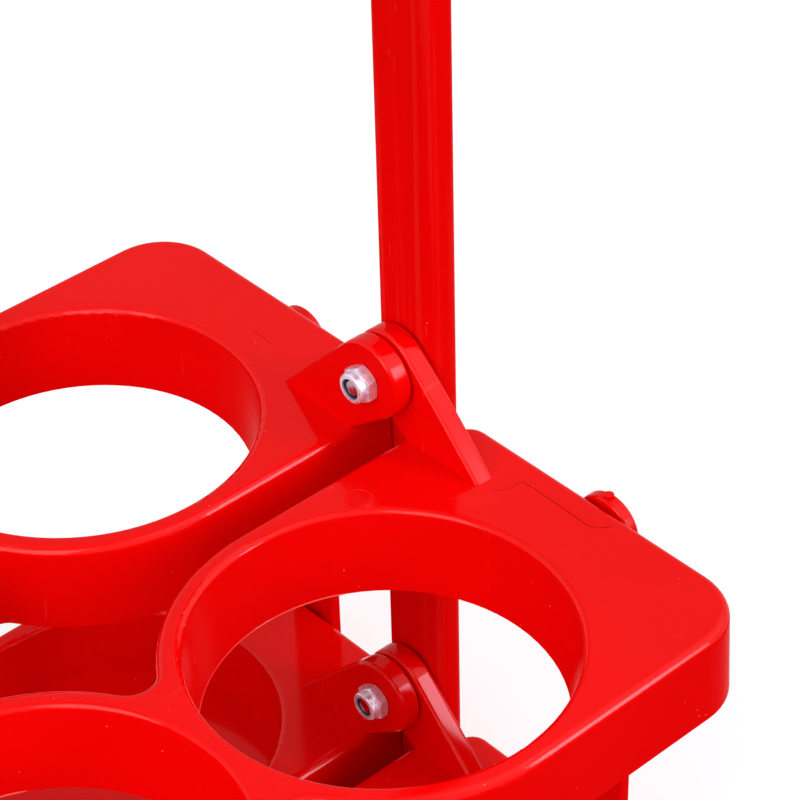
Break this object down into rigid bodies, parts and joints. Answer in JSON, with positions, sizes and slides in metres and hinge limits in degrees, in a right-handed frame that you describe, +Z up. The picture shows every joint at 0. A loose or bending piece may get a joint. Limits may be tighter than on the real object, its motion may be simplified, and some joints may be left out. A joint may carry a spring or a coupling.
{
  "type": "folding bottle carrier",
  "caption": "Folding moulded bottle carrier: ring racks over pocket trays, hinged on a U-shaped handle and joined by side links, so both halves fold up flat.",
  "frame": {"origin": "on the floor, midway between the ends and between the two halves", "axes": "+X along the carrier to the far end, +Y to the left half, +Z up"},
  "size_m": [0.2732, 0.1724, 0.2665],
  "materials": {
    "red_plastic": "glossy moulded red",
    "zinc_steel": "bright zinc plate",
    "nylon": "dark nylon"
  },
  "bodies": {
    "frame": {"handle": "red_plastic", "hinge_bolt_upper_far": "zinc_steel", "hinge_bolt_upper_near": "zinc_steel", "hinge_bolt_lower_far": "zinc_steel", "hinge_bolt_lower_near": "zinc_steel", "hinge_nut_upper_far": "zinc_steel", "hinge_nut_upper_near": "zinc_steel", "hinge_nut_lower_far": "zinc_steel", "hinge_nut_lower_near": "zinc_steel", "nut_ring_upper_far": "nylon", "nut_ring_upper_near": "nylon", "nut_ring_lower_far": "nylon", "nut_ring_lower_near": "nylon"},
    "upper_left": {"upper_rack_left": "red_plastic", "link_bolts_upper_left": "zinc_steel", "link_nuts_upper_left": "zinc_steel"},
    "lower_left": {"lower_tray_left": "red_plastic", "link_bolts_lower_left": "zinc_steel", "link_nuts_lower_left": "zinc_steel"},
    "link_left_far": {"side_link_left_far": "red_plastic"},
    "link_left_near": {"side_link_left_near": "red_plastic"},
    "upper_right": {"upper_rack_right": "red_plastic", "link_bolts_upper_right": "zinc_steel", "link_nuts_upper_right": "zinc_steel"},
    "lower_right": {"lower_tray_right": "red_plastic", "link_bolts_lower_right": "zinc_steel", "link_nuts_lower_right": "zinc_steel"},
    "link_right_far": {"side_link_right_far": "red_plastic"},
    "link_right_near": {"side_link_right_near": "red_plastic"}
  },
  "joints": [
    {"name": "fold_left", "type": "hinge", "parent": "frame", "child": "upper_left", "pos_m": [0, 0, 0.1166], "axis": [1, 0, 0], "range_deg": [0, 90]},
    {"name": "tray_left", "type": "hinge", "parent": "frame", "child": "lower_left", "pos_m": [0, 0, 0.0326], "axis": [1, 0, 0], "range_deg": [0, 90]},
    {"name": "link_left_far_pivot", "type": "hinge", "parent": "upper_left", "child": "link_left_far", "pos_m": [0.1337, 0.0449, 0.094], "axis": [1, 0, 0], "range_deg": [-90, 0]},
    {"name": "link_left_near_pivot", "type": "hinge", "parent": "upper_left", "child": "link_left_near", "pos_m": [-0.1337, 0.0449, 0.094], "axis": [1, 0, 0], "range_deg": [-90, 0]},
    {"name": "fold_right", "type": "hinge", "parent": "frame", "child": "upper_right", "pos_m": [0, 0, 0.1166], "axis": [-1, 0, 0], "range_deg": [0, 90]},
    {"name": "tray_right", "type": "hinge", "parent": "frame", "child": "lower_right", "pos_m": [0, 0, 0.0326], "axis": [-1, 0, 0], "range_deg": [0, 90]},
    {"name": "link_right_far_pivot", "type": "hinge", "parent": "upper_right", "child": "link_right_far", "pos_m": [0.1337, -0.0449, 0.094], "axis": [-1, 0, 0], "range_deg": [-90, 0]},
    {"name": "link_right_near_pivot", "type": "hinge", "parent": "upper_right", "child": "link_right_near", "pos_m": [-0.1337, -0.0449, 0.094], "axis": [-1, 0, 0], "range_deg": [-90, 0]}
  ],
  "couplings": [
    {"joint": "tray_left", "follows": "fold_left", "ratio": 1},
    {"joint": "link_left_far_pivot", "follows": "fold_left", "ratio": -1},
    {"joint": "link_left_near_pivot", "follows": "fold_left", "ratio": -1},
    {"joint": "tray_right", "follows": "fold_right", "ratio": 1},
    {"joint": "link_right_far_pivot", "follows": "fold_right", "ratio": -1},
    {"joint": "link_right_near_pivot", "follows": "fold_right", "ratio": -1}
  ]
}
